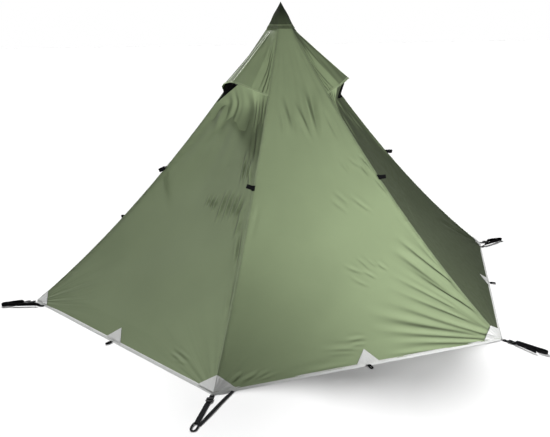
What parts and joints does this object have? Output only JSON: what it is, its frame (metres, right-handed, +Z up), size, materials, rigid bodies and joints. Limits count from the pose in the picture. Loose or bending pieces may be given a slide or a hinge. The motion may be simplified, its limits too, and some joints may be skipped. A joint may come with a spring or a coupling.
{
  "type": "pyramid tent",
  "caption": "Pyramid tent on a centre pole, with hooded mesh vents near its dark cap, a zipped door, adjustable corner peg loops, side loops and tie-out tabs on the ridges.",
  "frame": {"origin": "On the ground under the apex, at the middle of the pole's foot.", "axes": "+Z up, +Y out through the door, -Y out of the front panel, +X towards corner D."},
  "size_m": [3.368, 3.0654, 1.64],
  "materials": {
    "canopy_cloth": "olive coated ripstop with a soft sheen",
    "cap_cloth": "dark olive heavy coated cloth",
    "patch_cloth": "pale grey reinforced cloth",
    "tape": "pale grey seam tape",
    "webbing": "black webbing",
    "mesh": "black insect mesh",
    "stiffener": "dark flexible strip",
    "plastic": "black moulded plastic",
    "zip": "black coil zip",
    "zip_metal": "plain zip slider",
    "rubber": "black rubber",
    "pole_alloy": "drawn aluminium tube"
  },
  "bodies": {
    "canopy": {"panel_front": "canopy_cloth", "panel_vent_left": "canopy_cloth", "panel_vent_right": "canopy_cloth", "panel_side_left": "canopy_cloth", "panel_side_right": "canopy_cloth", "door_panel_fixed": "canopy_cloth", "apex_cap": "cap_cloth", "hem_binding": "tape", "zip_chain": "zip", "pole_upper_tube": "pole_alloy", "pole_clamp": "plastic", "pole_tip": "plastic", "pole_cup": "rubber", "corner_patch_A": "patch_cloth", "corner_patch_B": "patch_cloth", "corner_patch_C": "patch_cloth", "corner_patch_D": "patch_cloth", "corner_patch_E": "patch_cloth", "corner_patch_F": "patch_cloth", "ridge_tab_A": "webbing", "ridge_tab_B": "webbing", "ridge_tab_C": "webbing", "ridge_tab_D": "webbing", "ridge_tab_E": "webbing", "ridge_tab_F": "webbing", "side_patch_AB": "patch_cloth", "side_loop_AB": "webbing", "side_patch_BC": "patch_cloth", "side_loop_BC": "webbing", "side_patch_CD": "patch_cloth", "side_loop_CD": "webbing", "side_patch_DE": "patch_cloth", "side_loop_DE": "webbing", "side_patch_FA": "patch_cloth", "side_loop_FA": "webbing", "vent_hood_left": "canopy_cloth", "vent_mesh_left": "mesh", "vent_hood_right": "canopy_cloth", "vent_mesh_right": "mesh"},
    "door": {"door_flap": "canopy_cloth", "door_flap_tape": "tape"},
    "slider": {"zip_slider": "zip_metal"},
    "puller": {"zip_puller": "webbing"},
    "pole_lower": {"pole_foot": "rubber", "pole_lower_tube": "pole_alloy"},
    "lever": {"clamp_lever": "plastic"},
    "prop_left": {"vent_prop_left": "stiffener"},
    "prop_right": {"vent_prop_right": "stiffener"},
    "strap_A": {"peg_loop_A": "webbing", "corner_buckle_A": "plastic"},
    "strap_B": {"peg_loop_B": "webbing", "corner_buckle_B": "plastic"},
    "strap_C": {"peg_loop_C": "webbing", "corner_buckle_C": "plastic"},
    "strap_D": {"peg_loop_D": "webbing", "corner_buckle_D": "plastic"},
    "strap_E": {"peg_loop_E": "webbing", "corner_buckle_E": "plastic"},
    "strap_F": {"peg_loop_F": "webbing", "corner_buckle_F": "plastic"}
  },
  "joints": [
    {"name": "door_fold", "type": "hinge", "parent": "canopy", "child": "door", "pos_m": [-0.63, 1.29949, 0.0004], "axis": [0.3834, -0.6093, 0.6941], "range_deg": [0, 130]},
    {"name": "zip_slide", "type": "slide", "parent": "canopy", "child": "slider", "axis": [0, -0.6597, 0.7515], "range_m": [0, 1.25]},
    {"name": "puller_swing", "type": "hinge", "parent": "slider", "child": "puller", "pos_m": [0.0063, 1.25161, 0.06615], "axis": [1, 0, 0], "range_deg": [0, 150]},
    {"name": "pole_length", "type": "slide", "parent": "canopy", "child": "pole_lower", "axis": [0, 0, 1], "range_m": [0, 0.25]},
    {"name": "clamp_lever_swing", "type": "hinge", "parent": "canopy", "child": "lever", "pos_m": [0.0185, -0.012, 0.6275], "axis": [0, 0, -1], "range_deg": [0, 100]},
    {"name": "vent_prop_left_swing", "type": "hinge", "parent": "canopy", "child": "prop_left", "pos_m": [-0.33129, -0.19127, 1.22095], "axis": [0.5, -0.866, 0], "range_deg": [0, 80]},
    {"name": "vent_prop_right_swing", "type": "hinge", "parent": "canopy", "child": "prop_right", "pos_m": [0.33129, -0.19127, 1.22095], "axis": [0.5, 0.866, 0], "range_deg": [0, 80]},
    {"name": "strap_A_lift", "type": "hinge", "parent": "canopy", "child": "strap_A", "pos_m": [-1.4987, 0.00075, 0.003], "axis": [-0.5, 0.866, 0], "range_deg": [0, 60]},
    {"name": "strap_B_lift", "type": "hinge", "parent": "canopy", "child": "strap_B", "pos_m": [-0.75, -1.29754, 0.003], "axis": [-1, 0, 0], "range_deg": [0, 60]},
    {"name": "strap_C_lift", "type": "hinge", "parent": "canopy", "child": "strap_C", "pos_m": [0.75, -1.29754, 0.003], "axis": [-1, 0, 0], "range_deg": [0, 60]},
    {"name": "strap_D_lift", "type": "hinge", "parent": "canopy", "child": "strap_D", "pos_m": [1.4987, 0.00075, 0.003], "axis": [-0.5, -0.866, 0], "range_deg": [0, 60]},
    {"name": "strap_E_lift", "type": "hinge", "parent": "canopy", "child": "strap_E", "pos_m": [0.7487, 1.29829, 0.003], "axis": [0.5, -0.866, 0], "range_deg": [0, 60]},
    {"name": "strap_F_lift", "type": "hinge", "parent": "canopy", "child": "strap_F", "pos_m": [-0.7487, 1.29829, 0.003], "axis": [0.5, 0.866, 0], "range_deg": [0, 60]}
  ]
}
